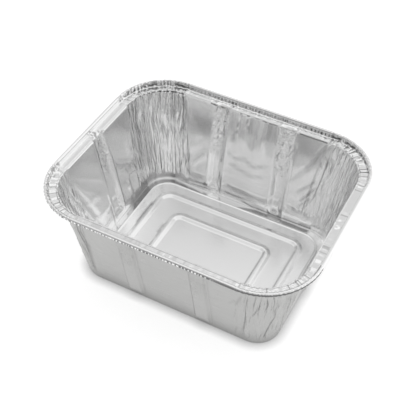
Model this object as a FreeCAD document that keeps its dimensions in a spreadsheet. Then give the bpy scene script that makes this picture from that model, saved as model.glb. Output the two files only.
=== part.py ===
"""Disposable aluminium drip pan, pressed from one sheet of foil.

The pan is a tapered tub with rounded corners. Six upright ribs stiffen its walls: two on each long wall and
one in the middle of each short wall. The floor stands on a narrow ring round its edge; inside that ring it
steps up to a raised platform that carries two raised beads, one inside the other. A flat flange runs round
the mouth and ends in a short leaning riser, and the edge of the sheet is rolled outwards and down from it.

Frame: origin at the middle of the underside, +X along the pan, +Y across it, +Z up. Millimetres.
"""

import FreeCAD, Part
import math
import os

import Sketcher

NODE = "drip_pan"

# Driving dimensions: alias, value in millimetres, meaning.
DIMENSIONS = (
    ("overall_length", 150.0, "outside of the rolled edge, along X"),
    ("overall_width", 122.0, "outside of the rolled edge, along Y"),
    ("overall_height", 62.4, "underside to the top of the rolled edge"),
    ("sheet_gauge", 0.1, "thickness of the foil"),
    ("rim_width", 7.0, "top of the wall to the outside of the rolled edge"),
    ("rim_corner_radius", 30.5, "outside of the rolled edge"),
    ("roll_radius", 0.8, "outside of the roll"),
    ("flange_width", 4.2, "top of the wall to the foot of the riser"),
    ("riser_rise", 2.4, "top of the flange to the middle of the roll"),
    ("riser_bend_radius", 0.6, "outside of the bend from the flange to the riser"),
    ("mouth_bend_radius", 0.5, "outside of the bend from the walls to the flange"),
    ("base_bend_radius", 1.3, "outside of the bend from the floor to the walls"),
    ("wall_lean", 10.5, "how far every wall leans out between the table and the flange"),
    ("rib_offset", 20.0, "middle of the pan to each rib of a long wall"),
    ("rib_radius", 7.5, "outside of a rib's round ridge"),
    ("rib_depth", 1.5, "how far a rib's ridge stands out of its wall"),
    ("rib_toe_height", 3.0, "inside of the lower end of a rib above the table"),
    ("platform_length", 105.4, "top of the raised platform"),
    ("platform_width", 75.4, "top of the raised platform"),
    ("platform_corner_radius", 10.5, "top of the raised platform"),
    ("platform_height", 1.7, "top of the raised platform above the table"),
    ("platform_run", 1.6, "how far the platform's side slopes out"),
    ("outer_bead_length", 89.6, "centre line of the outer bead"),
    ("outer_bead_width", 59.0, "centre line of the outer bead"),
    ("outer_bead_corner", 7.0, "centre line of the outer bead"),
    ("inner_bead_length", 60.0, "centre line of the inner bead"),
    ("inner_bead_width", 33.0, "centre line of the inner bead"),
    ("inner_bead_corner", 5.0, "centre line of the inner bead"),
    ("bead_span", 4.4, "width of a floor bead at its foot"),
    ("bead_rise", 1.0, "height of a floor bead above the platform"),
    ("overlap", 2.0, "how far a shape reaches into the metal or the space that it joins"),
)

# Lengths that follow from the driving ones: alias, formula, meaning.
DERIVED = (
    ("flange_height", "=overall_height - roll_radius - riser_rise", "top of the flange above the table"),
    ("mouth_length", "=overall_length - 2 * rim_width", "outside of the walls at the flange"),
    ("mouth_width", "=overall_width - 2 * rim_width", "outside of the walls at the flange"),
    ("mouth_corner_radius", "=rim_corner_radius - rim_width", "outside of the walls at the flange"),
    ("base_length", "=mouth_length - 2 * wall_lean", "outside of the walls, carried down to the table"),
    ("bead_radius", "=(bead_span ^ 2 / 4 + bead_rise ^ 2) / (2 * bead_rise)", "outside of a bead's arc"),
    ("bead_middle", "=platform_height + bead_rise - bead_radius", "height of the middle of a bead's arc"),
    ("side_gauge", "=sheet_gauge * sqrt(platform_run ^ 2 + platform_height ^ 2) / platform_height",
     "foil of the platform's side, measured level"),
)

ORIGIN = (-1, 1)  # the sketch's own origin, as the Sketcher numbers it
X_AXIS, Y_AXIS = -1, -2  # the sketch's axes, as the Sketcher numbers them
START, END, CENTRE = 1, 2, 3  # the points of a line or an arc, as the Sketcher numbers them
QUARTER = math.pi / 2

document = FreeCAD.newDocument("drip_pan_document")
sizes = document.addObject("Spreadsheet::Sheet", "sizes")
for row, (alias, value, meaning) in enumerate(DIMENSIONS + DERIVED, start=1):
    sizes.set(f"A{row}", alias.replace("_", " "))
    sizes.set(f"B{row}", str(value))
    sizes.set(f"C{row}", meaning)
    sizes.setAlias(f"B{row}", alias)
document.recompute()

body = document.addObject("PartDesign::Body", "pan_body")
body.Label = NODE


def origin_plane(role):
    """Return the body's own origin plane of that role."""
    return next(feature for feature in body.Origin.OriginFeatures if feature.Role == role)


def bound(expression):
    """Put the sheet's name before each of its aliases in an expression."""
    words = expression.replace("(", "( ").replace(")", " )").split()
    aliases = [alias for alias, *_ in DIMENSIONS + DERIVED]
    return " ".join(f"sizes.{word}" if word in aliases else word for word in words)


class Outline:
    """A sketch of the body whose every size is bound to the sheet."""

    def __init__(self, name, role="XY_Plane", height="0", turn=0):
        """Attach a new sketch to an origin plane, and lift and turn a level one (height, degrees)."""
        self.sketch = body.newObject("Sketcher::SketchObject", name)
        self.sketch.AttachmentSupport = [(origin_plane(role), "")]
        self.sketch.MapMode = "FlatFace"
        if role == "XY_Plane":
            spin = FreeCAD.Rotation(FreeCAD.Vector(0, 0, 1), turn)
            self.sketch.AttachmentOffset = FreeCAD.Placement(FreeCAD.Vector(), spin)
            self.sketch.setExpression("AttachmentOffset.Base.z", bound(height))

    def constrain(self, kind, *references):
        """Add a geometric constraint and return its number."""
        return self.sketch.addConstraint(Sketcher.Constraint(kind, *references))

    def size(self, kind, *references, to):
        """Add a driving dimension that follows the expression `to`."""
        index = self.constrain(kind, *references, float(sizes.evalExpression(to)))
        self.sketch.setExpression(f"Constraints[{index}]", bound(to))

    def line(self, start, end):
        """Add a straight edge and return its number."""
        return self.sketch.addGeometry(Part.LineSegment(FreeCAD.Vector(*start), FreeCAD.Vector(*end)))

    def arc(self, centre, radius, first, last):
        """Add an arc, anticlockwise from the angle `first` to `last` in radians, and return its number."""
        circle = Part.Circle(FreeCAD.Vector(*centre), FreeCAD.Vector(0, 0, 1), radius)
        return self.sketch.addGeometry(Part.ArcOfCircle(circle, first, last))

    def guide_point(self, x, y):
        """Add a construction point from two expressions and return its number."""
        place = FreeCAD.Vector(sizes.evalExpression(x), sizes.evalExpression(y))
        point = self.sketch.addGeometry(Part.Point(place), True)
        self.size("DistanceX", *ORIGIN, point, START, to=x)
        if y == "0":
            self.constrain("PointOnObject", point, START, X_AXIS)
        else:
            self.size("DistanceY", *ORIGIN, point, START, to=y)
        return point

    def rounded_rectangle(self, length, width, radius):
        """Draw a rectangle with round corners about the origin from three expressions."""
        half_x = sizes.evalExpression(length) / 2
        half_y = sizes.evalExpression(width) / 2
        corner = sizes.evalExpression(radius)
        flat_x = half_x - corner
        flat_y = half_y - corner
        front = self.line((-flat_x, -half_y), (flat_x, -half_y))
        right = self.line((half_x, -flat_y), (half_x, flat_y))
        back = self.line((flat_x, half_y), (-flat_x, half_y))
        left = self.line((-half_x, flat_y), (-half_x, -flat_y))
        front_right = self.arc((flat_x, -flat_y), corner, -QUARTER, 0)
        back_right = self.arc((flat_x, flat_y), corner, 0, QUARTER)
        back_left = self.arc((-flat_x, flat_y), corner, QUARTER, 2 * QUARTER)
        front_left = self.arc((-flat_x, -flat_y), corner, 2 * QUARTER, 3 * QUARTER)
        loop = (front, front_right, right, back_right, back, back_left, left, front_left)
        for edge, following in zip(loop, loop[1:] + loop[:1]):
            self.constrain("Tangent", edge, END, following, START)
        for edge in (front, back):
            self.constrain("Horizontal", edge)
        for edge in (right, left):
            self.constrain("Vertical", edge)
        self.constrain("Symmetric", front_left, CENTRE, back_right, CENTRE, *ORIGIN)
        for other in (back_right, back_left, front_left):
            self.constrain("Equal", front_right, other)
        self.size("DistanceX", left, START, right, START, to=length)
        self.size("DistanceY", front, START, back, START, to=width)
        self.size("Radius", front_right, to=radius)
        return self

    def segment(self, x, y, radius, chord):
        """Draw the part of a circle that stands above a level chord, from four expressions."""
        centre_x = sizes.evalExpression(x)
        centre_y = sizes.evalExpression(y)
        full = sizes.evalExpression(radius)
        level = sizes.evalExpression(chord)
        half = math.sqrt(full ** 2 - (level - centre_y) ** 2)
        first = math.atan2(level - centre_y, half)
        crest = self.arc((centre_x, centre_y), full, first, math.pi - first)
        foot = self.line((centre_x - half, level), (centre_x + half, level))
        self.constrain("Coincident", crest, END, foot, START)
        self.constrain("Coincident", crest, START, foot, END)
        self.constrain("Horizontal", foot)
        if x == "0":
            self.constrain("PointOnObject", crest, CENTRE, Y_AXIS)
        else:
            self.size("DistanceX", *ORIGIN, crest, CENTRE, to=x)
        self.size("DistanceY", *ORIGIN, crest, CENTRE, to=y)
        self.size("Radius", crest, to=radius)
        self.size("DistanceY", *ORIGIN, foot, START, to=chord)
        return self

    def sheet_section(self):
        """Draw the foil cut across, from under the platform over the wall and flange to the rolled edge.

        The section has two faces. The outer face runs along the underside of the floor, the outside of the
        wall, the underside of the flange, the outside of the riser and the inside of the roll; the inner face
        runs beside it on the other side of the foil, so each bend of one is concentric with the same bend of
        the other.
        """
        gauge = sizes.sheet_gauge
        inner_end = sizes.platform_length / 2 - sizes.overlap
        roll = (sizes.overall_length / 2 - sizes.roll_radius, sizes.overall_height - sizes.roll_radius)
        riser_foot = (sizes.mouth_length / 2 + sizes.flange_width, sizes.flange_height)
        riser_run = roll[0] - riser_foot[0]
        to_roll = math.hypot(riser_run, sizes.riser_rise)
        riser_lean = math.atan2(riser_run, sizes.riser_rise) - math.asin(sizes.roll_radius / to_roll)
        lean = math.atan2(sizes.wall_lean, sizes.flange_height)
        set_back = math.tan((QUARTER - lean) / 2)
        base_bend = (sizes.base_length / 2 - sizes.base_bend_radius * set_back, sizes.base_bend_radius)
        mouth_bend = (sizes.mouth_length / 2 + sizes.mouth_bend_radius * set_back,
                      sizes.flange_height - gauge - sizes.mouth_bend_radius)
        bend_inside = sizes.riser_bend_radius - gauge
        riser_bend = (riser_foot[0] - bend_inside * math.tan((QUARTER - riser_lean) / 2),
                      sizes.flange_height + bend_inside)

        def face(depth):
            """Draw one face, `depth` into the foil from the outer face, and return its edges in order."""
            base_radius = sizes.base_bend_radius - depth
            mouth_radius = sizes.mouth_bend_radius + depth
            riser_radius = sizes.riser_bend_radius - depth
            roll_radius = sizes.roll_radius - gauge + depth
            side = (math.cos(lean), -math.sin(lean))
            wall_foot = (base_bend[0] + base_radius * side[0], base_bend[1] + base_radius * side[1])
            wall_top = (mouth_bend[0] - mouth_radius * side[0], mouth_bend[1] - mouth_radius * side[1])
            flange_z = mouth_bend[1] + mouth_radius
            slope = (math.cos(riser_lean), -math.sin(riser_lean))
            riser_start = (riser_bend[0] + riser_radius * slope[0], riser_bend[1] + riser_radius * slope[1])
            riser_end = (roll[0] - roll_radius * slope[0], roll[1] - roll_radius * slope[1])
            return (
                self.line((inner_end, depth), (base_bend[0], depth)),
                self.arc(base_bend, base_radius, -QUARTER, -lean),
                self.line(wall_foot, wall_top),
                self.arc(mouth_bend, mouth_radius, QUARTER, 2 * QUARTER - lean),
                self.line((mouth_bend[0], flange_z), (riser_bend[0], flange_z)),
                self.arc(riser_bend, riser_radius, -QUARTER, -riser_lean),
                self.line(riser_start, riser_end),
                self.arc(roll, roll_radius, -QUARTER, 2 * QUARTER - riser_lean),
            )

        outer = face(0)
        inner = face(gauge)
        for floor, base, wall, mouth, flange, corner, riser, rolled in (outer, inner):
            self.constrain("Tangent", floor, END, base, START)
            self.constrain("Tangent", base, END, wall, START)
            self.constrain("Tangent", wall, END, mouth, END)
            self.constrain("Tangent", mouth, START, flange, START)
            self.constrain("Tangent", flange, END, corner, START)
            self.constrain("Tangent", corner, END, riser, START)
            self.constrain("Tangent", riser, END, rolled, END)
            self.constrain("Horizontal", floor)
        for bend in (1, 3, 5, 7):
            self.constrain("Coincident", outer[bend], CENTRE, inner[bend], CENTRE)
        self.constrain("Horizontal", outer[4])
        self.constrain("Vertical", outer[7], START, outer[7], CENTRE)
        roll_foot = roll[1] - sizes.roll_radius
        lip = self.line((roll[0], roll_foot + gauge), (roll[0], roll_foot))
        root = self.line((inner_end, gauge), (inner_end, 0))
        for cut, edge in ((lip, 7), (root, 0)):
            self.constrain("Vertical", cut)
            self.constrain("Coincident", outer[edge], START, cut, START if cut == lip else END)
            self.constrain("Coincident", inner[edge], START, cut, END if cut == lip else START)

        wall_at_table = self.guide_point("base_length / 2", "0")
        wall_at_flange = self.guide_point("mouth_length / 2", "flange_height")
        for guide in (wall_at_table, wall_at_flange):
            self.constrain("PointOnObject", guide, START, outer[2])
        riser_at_flange = self.guide_point("mouth_length / 2 + flange_width", "flange_height")
        self.constrain("PointOnObject", riser_at_flange, START, inner[6])
        self.constrain("PointOnObject", outer[0], START, X_AXIS)
        self.size("DistanceX", *ORIGIN, outer[0], START, to="platform_length / 2 - overlap")
        self.size("DistanceY", *ORIGIN, inner[4], START, to="flange_height")
        self.size("DistanceX", *ORIGIN, outer[7], CENTRE, to="overall_length / 2 - roll_radius")
        self.size("DistanceY", *ORIGIN, outer[7], CENTRE, to="overall_height - roll_radius")
        for bend, outer_radius, inner_radius in (
                (1, "base_bend_radius", "base_bend_radius - sheet_gauge"),
                (3, "mouth_bend_radius", "mouth_bend_radius + sheet_gauge"),
                (5, "riser_bend_radius", "riser_bend_radius - sheet_gauge"),
                (7, "roll_radius - sheet_gauge", "roll_radius")):
            self.size("Radius", outer[bend], to=outer_radius)
            self.size("Radius", inner[bend], to=inner_radius)
        return self


def loft(kind, name, lower, upper):
    """Join two level outlines with straight sides, adding to the body or cutting it."""
    feature = body.newObject(f"PartDesign::{kind}Loft", name)
    feature.Profile = lower.sketch
    feature.Sections = [upper.sketch]
    feature.Ruled = True
    return feature


def pipe(kind, name, section, path):
    """Carry a section once round a closed path, adding to the body or cutting it."""
    feature = body.newObject(f"PartDesign::{kind}Pipe", name)
    feature.Profile = section.sketch
    feature.Spine = (path.sketch, [])
    return feature


def mirrored(name, original, *roles):
    """Repeat a feature across one or more of the body's upright origin planes."""
    feature = body.newObject("PartDesign::MultiTransform", name)
    feature.Originals = [original]
    mirrors = []
    for role in roles:
        mirror = document.addObject("PartDesign::Mirrored", f"{name}_across_{role[:2].lower()}")
        mirror.MirrorPlane = (origin_plane(role), [""])
        mirrors.append(mirror)
    feature.Transformations = mirrors
    body.Tip = feature
    return feature


def rib(kind, name, radius, depth, foot, top, short_wall=False):
    """Build one rib as a bar, round in front and flat behind, that leans with its wall.

    The bar's round front stands out of the wall, and its flat back lies `depth` inside the wall's outside.
    It runs from the height `foot` up to the height `top`.
    """
    mouth = "mouth_length" if short_wall else "mouth_width"
    along = "0" if short_wall else "rib_offset"
    ends = []
    for end, height in (("foot", foot), ("top", top)):
        wall = f"{mouth} / 2 - wall_lean + wall_lean * ( {height} ) / flange_height"
        outline = Outline(f"{name}_{end}", height=height, turn=-90 if short_wall else 0)
        ends.append(outline.segment(along, f"{wall} + rib_depth - rib_radius", radius, f"{wall} - {depth}"))
    return loft(kind, name, *ends)


# The walls, the ring that the pan stands on, and the rim: one section of foil carried round the mouth.
sheet_section = Outline("sheet_section", role="XZ_Plane").sheet_section()
mouth_outline = Outline("mouth_outline", height="flange_height")
mouth_outline.rounded_rectangle("mouth_length", "mouth_width", "mouth_corner_radius")
pipe("Additive", "walls_and_rim", sheet_section, mouth_outline)

# The ribs' ridges on the outside of the walls.
RIDGE = ("rib_radius", "sheet_gauge / 2", "rib_toe_height - sheet_gauge", "flange_height - sheet_gauge / 2")
long_ridge = rib("Additive", "long_wall_ridge", *RIDGE)
mirrored("long_wall_ridges", long_ridge, "YZ_Plane", "XZ_Plane")
short_ridge = rib("Additive", "short_wall_ridge", *RIDGE, short_wall=True)
mirrored("short_wall_ridges", short_ridge, "YZ_Plane")

# The ribs' channels on the inside of the walls, which run out through the edge of the flange.
CHANNEL = ("rib_radius - sheet_gauge", "overlap", "rib_toe_height", "flange_height + overlap")
long_channel = rib("Subtractive", "long_wall_channel", *CHANNEL)
mirrored("long_wall_channels", long_channel, "YZ_Plane", "XZ_Plane")
short_channel = rib("Subtractive", "short_wall_channel", *CHANNEL, short_wall=True)
mirrored("short_wall_channels", short_channel, "YZ_Plane")

# The raised platform, as a block.
platform_foot = Outline("platform_foot").rounded_rectangle(
    "platform_length + 2 * platform_run", "platform_width + 2 * platform_run",
    "platform_corner_radius + platform_run")
platform_top = Outline("platform_top", height="platform_height").rounded_rectangle(
    "platform_length", "platform_width", "platform_corner_radius")
loft("Additive", "platform", platform_foot, platform_top)

# The crests of the two beads on the platform.
BEAD_CHORD = "platform_height - bead_rise"
bead_paths = {}
for bead in ("outer_bead", "inner_bead"):
    path = Outline(f"{bead}_path")
    bead_paths[bead] = path.rounded_rectangle(f"{bead}_length", f"{bead}_width", f"{bead}_corner")
    crest = Outline(f"{bead}_crest", role="XZ_Plane")
    crest.segment(f"{bead}_length / 2", "bead_middle", "bead_radius", BEAD_CHORD)
    pipe("Additive", bead, crest, bead_paths[bead])

# The hollow under the platform, one thickness of foil inside it, and the hollows under the beads.
SIDE_INSET = "2 * side_gauge"
ROOF_INSET = "2 * ( side_gauge - sheet_gauge * platform_run / platform_height )"
hollow_foot = Outline("hollow_foot").rounded_rectangle(
    f"platform_length + 2 * platform_run - {SIDE_INSET}", f"platform_width + 2 * platform_run - {SIDE_INSET}",
    "platform_corner_radius + platform_run - side_gauge")
hollow_roof = Outline("hollow_roof", height="platform_height - sheet_gauge").rounded_rectangle(
    f"platform_length - {ROOF_INSET}", f"platform_width - {ROOF_INSET}",
    "platform_corner_radius - side_gauge + sheet_gauge * platform_run / platform_height")
loft("Subtractive", "platform_hollow", hollow_foot, hollow_roof)
for bead, path in bead_paths.items():
    groove = Outline(f"{bead}_groove", role="XZ_Plane")
    groove.segment(f"{bead}_length / 2", "bead_middle", "bead_radius - sheet_gauge", BEAD_CHORD)
    pipe("Subtractive", f"{bead}_hollow", groove, path)

document.recompute()

for feature in document.Objects:
    if any(state in ("Invalid", "Error") for state in feature.State):
        raise SystemExit(f"{feature.Name} failed: {feature.State}")

# Every step of the body adds metal or takes it away, as its kind says.
steps = [step for step in body.Group if step.isDerivedFrom("PartDesign::FeatureAddSub")]
for step in steps[1:]:
    change = step.Shape.Volume - step.BaseFeature.Shape.Volume
    if (change < 0) != step.TypeId.startswith("PartDesign::Subtractive"):
        raise SystemExit(f"{step.Name} changed the volume by {change:.3f} cubic mm, the wrong way")

if body.Shape.isNull() or not body.Shape.isValid() or len(body.Shape.Solids) != 1:
    raise SystemExit("the pan is not one valid solid")

os.makedirs("parts", exist_ok=True)
body.Shape.exportStep(f"parts/{body.Label}.step")
print(f"{body.Label}: {body.Shape.Volume:.1f} cubic mm of foil")
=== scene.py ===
"""Drip pan: the finish of one pan pressed from a single sheet of aluminium foil.

The pan is made as it is in the press. A flat blank is drawn into a section (floor, wall, flange, riser and
rolled edge) carried round the mouth, and the foil that the corners can't take up gathers in folds. Lengths
are in millimetres up to the point where a mesh is written, which is in metres.
"""
import sys

import enum
import logging
import math
from dataclasses import dataclass, field

import bmesh
import bpy
import numpy as np
from mathutils import Matrix, Vector


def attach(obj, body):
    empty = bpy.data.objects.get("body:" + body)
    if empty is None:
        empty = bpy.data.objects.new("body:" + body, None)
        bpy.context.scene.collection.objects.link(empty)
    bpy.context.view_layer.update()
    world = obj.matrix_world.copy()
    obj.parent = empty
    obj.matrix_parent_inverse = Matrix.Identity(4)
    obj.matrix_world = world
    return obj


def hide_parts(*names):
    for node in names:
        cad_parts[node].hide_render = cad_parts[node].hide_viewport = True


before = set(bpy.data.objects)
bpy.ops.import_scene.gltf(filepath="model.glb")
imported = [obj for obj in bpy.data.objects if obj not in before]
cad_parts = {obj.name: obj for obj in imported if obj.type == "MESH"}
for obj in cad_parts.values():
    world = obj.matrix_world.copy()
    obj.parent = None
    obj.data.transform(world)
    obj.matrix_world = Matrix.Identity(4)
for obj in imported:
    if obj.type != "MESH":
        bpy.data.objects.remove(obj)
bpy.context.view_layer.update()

LOG = logging.getLogger("drip_pan")
MM = 0.001
BODY = "root"
NODE = "drip_pan"
SHEET_MAP = "sheet"
MAP_SIZE = 100.0
FAR_OFF = 1e4
# In metres: points closer together than this are one, and an edge shorter than this is none.
SAME_PLACE = 1e-7
NO_LENGTH = 1e-8
# Added to the seed of a net of folds to get the seed of how they stray.
STRAY_SEED = 500


def linear(hexcode: str) -> tuple[float, float, float, float]:
    """Turn an sRGB hex colour into the linear colour that a shader socket takes.

    Args:
        hexcode: six hex digits, with or without a leading hash.

    Returns:
        Red, green, blue and an alpha of 1.
    """
    digits = hexcode.lstrip("#")
    channels = [int(digits[i:i + 2], 16) / 255 for i in (0, 2, 4)]
    toned = [c / 12.92 if c <= 0.04045 else ((c + 0.055) / 1.055) ** 2.4 for c in channels]
    return (*toned, 1.0)


def add(tree: bpy.types.NodeTree, kind: str, feeds: dict | None = None, **settings) -> bpy.types.Node:
    """Add one node, set it up and link it.

    Args:
        tree: the node tree that gets the node.
        kind: the node's type name, without the leading "ShaderNode".
        feeds: value, output socket or node for each input, by name or number. A node stands for its first
            output.
        settings: properties of the node itself.

    Returns:
        The new node.
    """
    node = tree.nodes.new(f"ShaderNode{kind}")
    for name, value in settings.items():
        setattr(node, name, value)
    for key, value in (feeds or {}).items():
        value = value.outputs[0] if isinstance(value, bpy.types.Node) else value
        if isinstance(value, bpy.types.NodeSocket):
            tree.links.new(value, node.inputs[key])
        else:
            node.inputs[key].default_value = value
    return node


def empty_tree(owner: bpy.types.Material | bpy.types.World) -> bpy.types.NodeTree:
    """Give a new material or world a node tree with nothing in it.

    Args:
        owner: the material or world.

    Returns:
        Its tree.
    """
    owner.use_nodes = True
    owner.node_tree.nodes.clear()
    return owner.node_tree


def smooth(value: np.ndarray | float) -> np.ndarray:
    """Ease a value from 0 to 1, flat at both ends."""
    held = np.clip(value, 0, 1)
    return held * held * (3 - 2 * held)


def window(value: np.ndarray, low: float, high: float, fade: float) -> np.ndarray:
    """Be 1 between two limits and fall to 0 over `fade` outside each."""
    return smooth((value - low + fade) / fade) * smooth((high + fade - value) / fade)


# ---------------------------------------------------------------------------------------------- the outline


class Side(enum.IntEnum):
    """The eight stretches of the pan's outline, in their order round it, seen from above."""

    RIGHT = 0
    BACK_RIGHT = 1
    BACK = 2
    BACK_LEFT = 3
    LEFT = 4
    FRONT_LEFT = 5
    FRONT = 6
    FRONT_RIGHT = 7


CORNERS = (Side.BACK_RIGHT, Side.BACK_LEFT, Side.FRONT_LEFT, Side.FRONT_RIGHT)


@dataclass
class Outline:
    """Points round the pan. Each level outline is a rectangle, its core, grown outwards by some reach.

    Attributes:
        core_x, core_y: half sizes of the walls' core.
        mouth_reach: the reach at the top of the wall, where distances round the pan are measured.
        long_steps, short_steps, corner_steps: points on each kind of stretch.
        side: the stretch that each point lies on.
        across, up: its place along X and Y, from -1 to 1 of the core's half sizes.
        out_x, out_y: the way out from the core there.
        run: its distance round the pan, from the front end of the right-hand wall.
        length: the whole way round.
    """

    core_x: float = 44.5
    core_y: float = 30.5
    mouth_reach: float = 23.5
    long_steps: int = 204
    short_steps: int = 96
    corner_steps: int = 130
    side: np.ndarray = field(init=False)
    across: np.ndarray = field(init=False)
    up: np.ndarray = field(init=False)
    out_x: np.ndarray = field(init=False)
    out_y: np.ndarray = field(init=False)
    run: np.ndarray = field(init=False)
    length: float = field(init=False)

    def __post_init__(self) -> None:
        """Lay the points out round the pan."""
        ways = ((1, 0), (0, 1), (-1, 0), (0, -1))
        stretches = []
        travelled = 0.0
        for side in Side:
            quarter, at_corner = divmod(int(side), 2)
            way_x, way_y = ways[quarter]
            if at_corner:
                next_x, next_y = ways[(quarter + 1) % 4]
                way_x, way_y = way_x + next_x, way_y + next_y
                steps, span = self.corner_steps, self.arc
            elif way_x:
                steps, span = self.short_steps, 2 * self.core_y
            else:
                steps, span = self.long_steps, 2 * self.core_x
            part = np.arange(steps) / steps
            sweep = 2 * part - 1
            across = np.full(steps, float(way_x)) if way_x else -way_y * sweep
            up = np.full(steps, float(way_y)) if way_y else way_x * sweep
            if at_corner:
                bearing = quarter * math.pi / 2 + part * math.pi / 2
            else:
                bearing = np.full(steps, math.atan2(way_y, way_x))
            stretches.append((np.full(steps, int(side)), across, up, bearing, travelled + part * span))
            travelled += span
        self.side, self.across, self.up, bearing, self.run = map(np.concatenate, zip(*stretches))
        self.out_x = np.cos(bearing)
        self.out_y = np.sin(bearing)
        self.length = travelled

    @property
    def count(self) -> int:
        """The number of points round the pan."""
        return len(self.run)

    @property
    def arc(self) -> float:
        """The length of one corner at the mouth."""
        return self.mouth_reach * math.pi / 2

    def on(self, *sides: Side) -> np.ndarray:
        """Say which points lie on the given stretches, as one row of 0 or 1."""
        return np.isin(self.side, [int(side) for side in sides]).astype(float)[None, :]

    def along(self, side: Side) -> np.ndarray:
        """Measure each point along a side.

        Args:
            side: one of the four straight sides.

        Returns:
            The place of each point from the side's middle, in one row, and something far off for those that
            aren't on it.
        """
        short = side in (Side.LEFT, Side.RIGHT)
        place = self.up * self.core_y if short else self.across * self.core_x
        return np.where(self.side == side, place, FAR_OFF)[None, :]

    def run_at(self, side: Side, place: float) -> float:
        """Turn a place along a side into a distance round the pan.

        Args:
            side: one of the four straight sides.
            place: measured from the side's middle, along X or Y.

        Returns:
            The distance from the front end of the right-hand wall.
        """
        wide, deep, arc = 2 * self.core_x, 2 * self.core_y, self.arc
        middles = {Side.RIGHT: deep / 2, Side.BACK: deep + arc + wide / 2,
                   Side.LEFT: 1.5 * deep + 2 * arc + wide, Side.FRONT: 2 * deep + 3 * arc + 1.5 * wide}
        return middles[side] + (place if side in (Side.RIGHT, Side.FRONT) else -place)

    def off_run(self, middle: float) -> np.ndarray:
        """Give each point's distance round the pan from a place, by the shorter way, in one row."""
        return ((self.run - middle + self.length / 2) % self.length - self.length / 2)[None, :]

    def laid(self, reach: np.ndarray) -> tuple[np.ndarray, np.ndarray]:
        """Measure round the pan in true lengths, from the middle of the nearest corner.

        The corners get tighter towards the floor, so foil gathered over one length at the mouth reaches
        further along the straight walls lower down.

        Args:
            reach: the reach of each row of points.

        Returns:
            The run at each point, and its distance from the corner's middle, one row for each reach.
        """
        arc = self.arc
        share = np.clip(reach / self.mouth_reach, 0, 1)[:, None]
        run = np.zeros((len(reach), self.count))
        best = np.full_like(run, FAR_OFF)
        start = 2 * self.core_y
        for span in (2 * self.core_x, 2 * self.core_y) * 2:
            middle = start + arc / 2
            off = self.off_run(middle)
            curved = np.clip(off, -arc / 2, arc / 2)
            off = curved * share + off - curved
            run = np.where(np.abs(off) < best, middle + off, run)
            best = np.minimum(best, np.abs(off))
            start += arc + span
        return run, best


# ------------------------------------------------------------------------------------------- folds and dents


def look_up(table: np.ndarray, row: np.ndarray, rest: np.ndarray, column: np.ndarray) -> np.ndarray:
    """Read a table at the given columns, between a row and the next."""
    return table[row, column] * (1 - rest) + table[row + 1, column] * rest


@dataclass(frozen=True)
class Folds:
    """Uneven folds in the foil, as heights over a net of random lines.

    Attributes:
        pitch: mean distance between folds round the pan.
        reach: distance along the section over which a fold changes its height.
        seed: start of the random numbers.
        lasting: how much of a fold's height stays the same all the way along it, from 0 to 1.
        zigzag: whether neighbouring folds stand alternately up and down.
        soft: whether the folds are rounded rather than creased.
        wander: how far a fold strays sideways on its way along the section.
        stray_over: distance along the section between one stray and the next.
    """

    pitch: float
    reach: float
    seed: int
    lasting: float = 0.5
    zigzag: bool = False
    soft: bool = False
    wander: float = 0.0
    stray_over: float = 14.0

    def height(self, outline: Outline, down: np.ndarray, laid: np.ndarray | None = None) -> np.ndarray:
        """Give the folds' height, from -1 to 1, at each point.

        Args:
            outline: the points round the pan.
            down: distance along the section of each row of points.
            laid: the run at each point, where it isn't the outline's own.

        Returns:
            One row for each value of `down`.
        """
        run, along = np.meshgrid(outline.run, down)
        run = run if laid is None else laid
        if self.wander:
            stray = Folds(9.0, self.stray_over, self.seed + STRAY_SEED, lasting=0.2, soft=True)
            run = run + self.wander * stray.height(outline, down, laid)
        rng = np.random.default_rng(self.seed)
        count = 2 * max(4, round(outline.length / self.pitch / 2))
        gaps = rng.uniform(0.45, 1.55, count)
        edges = np.concatenate([[0.0], np.cumsum(gaps)]) / gaps.sum() * outline.length
        place = np.interp(run % outline.length, edges, np.arange(count + 1))
        levels = int(np.ceil((down.max() - down.min()) / self.reach)) + 2
        level = (along - down.min()) / self.reach + rng.uniform(0, 0.9)
        base = rng.uniform(-1, 1, (1, count))
        own = rng.uniform(-1, 1, (levels + 1, count))
        table = self.lasting * base + (1 - self.lasting) * own
        if self.zigzag:
            table = (0.25 + 0.75 * np.abs(table)) * np.where(np.arange(count) % 2, -1, 1)
        column = np.floor(place).astype(int)
        row = np.clip(np.floor(level).astype(int), 0, levels - 1)
        part, rest = place - column, level - row
        if self.soft:
            part, rest = smooth(part), smooth(rest)
        column, following = column % count, (column + 1) % count
        upper = table[row, column] * (1 - part) + table[row, following] * part
        lower = table[row + 1, column] * (1 - part) + table[row + 1, following] * part
        return upper * (1 - rest) + lower * rest


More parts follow.
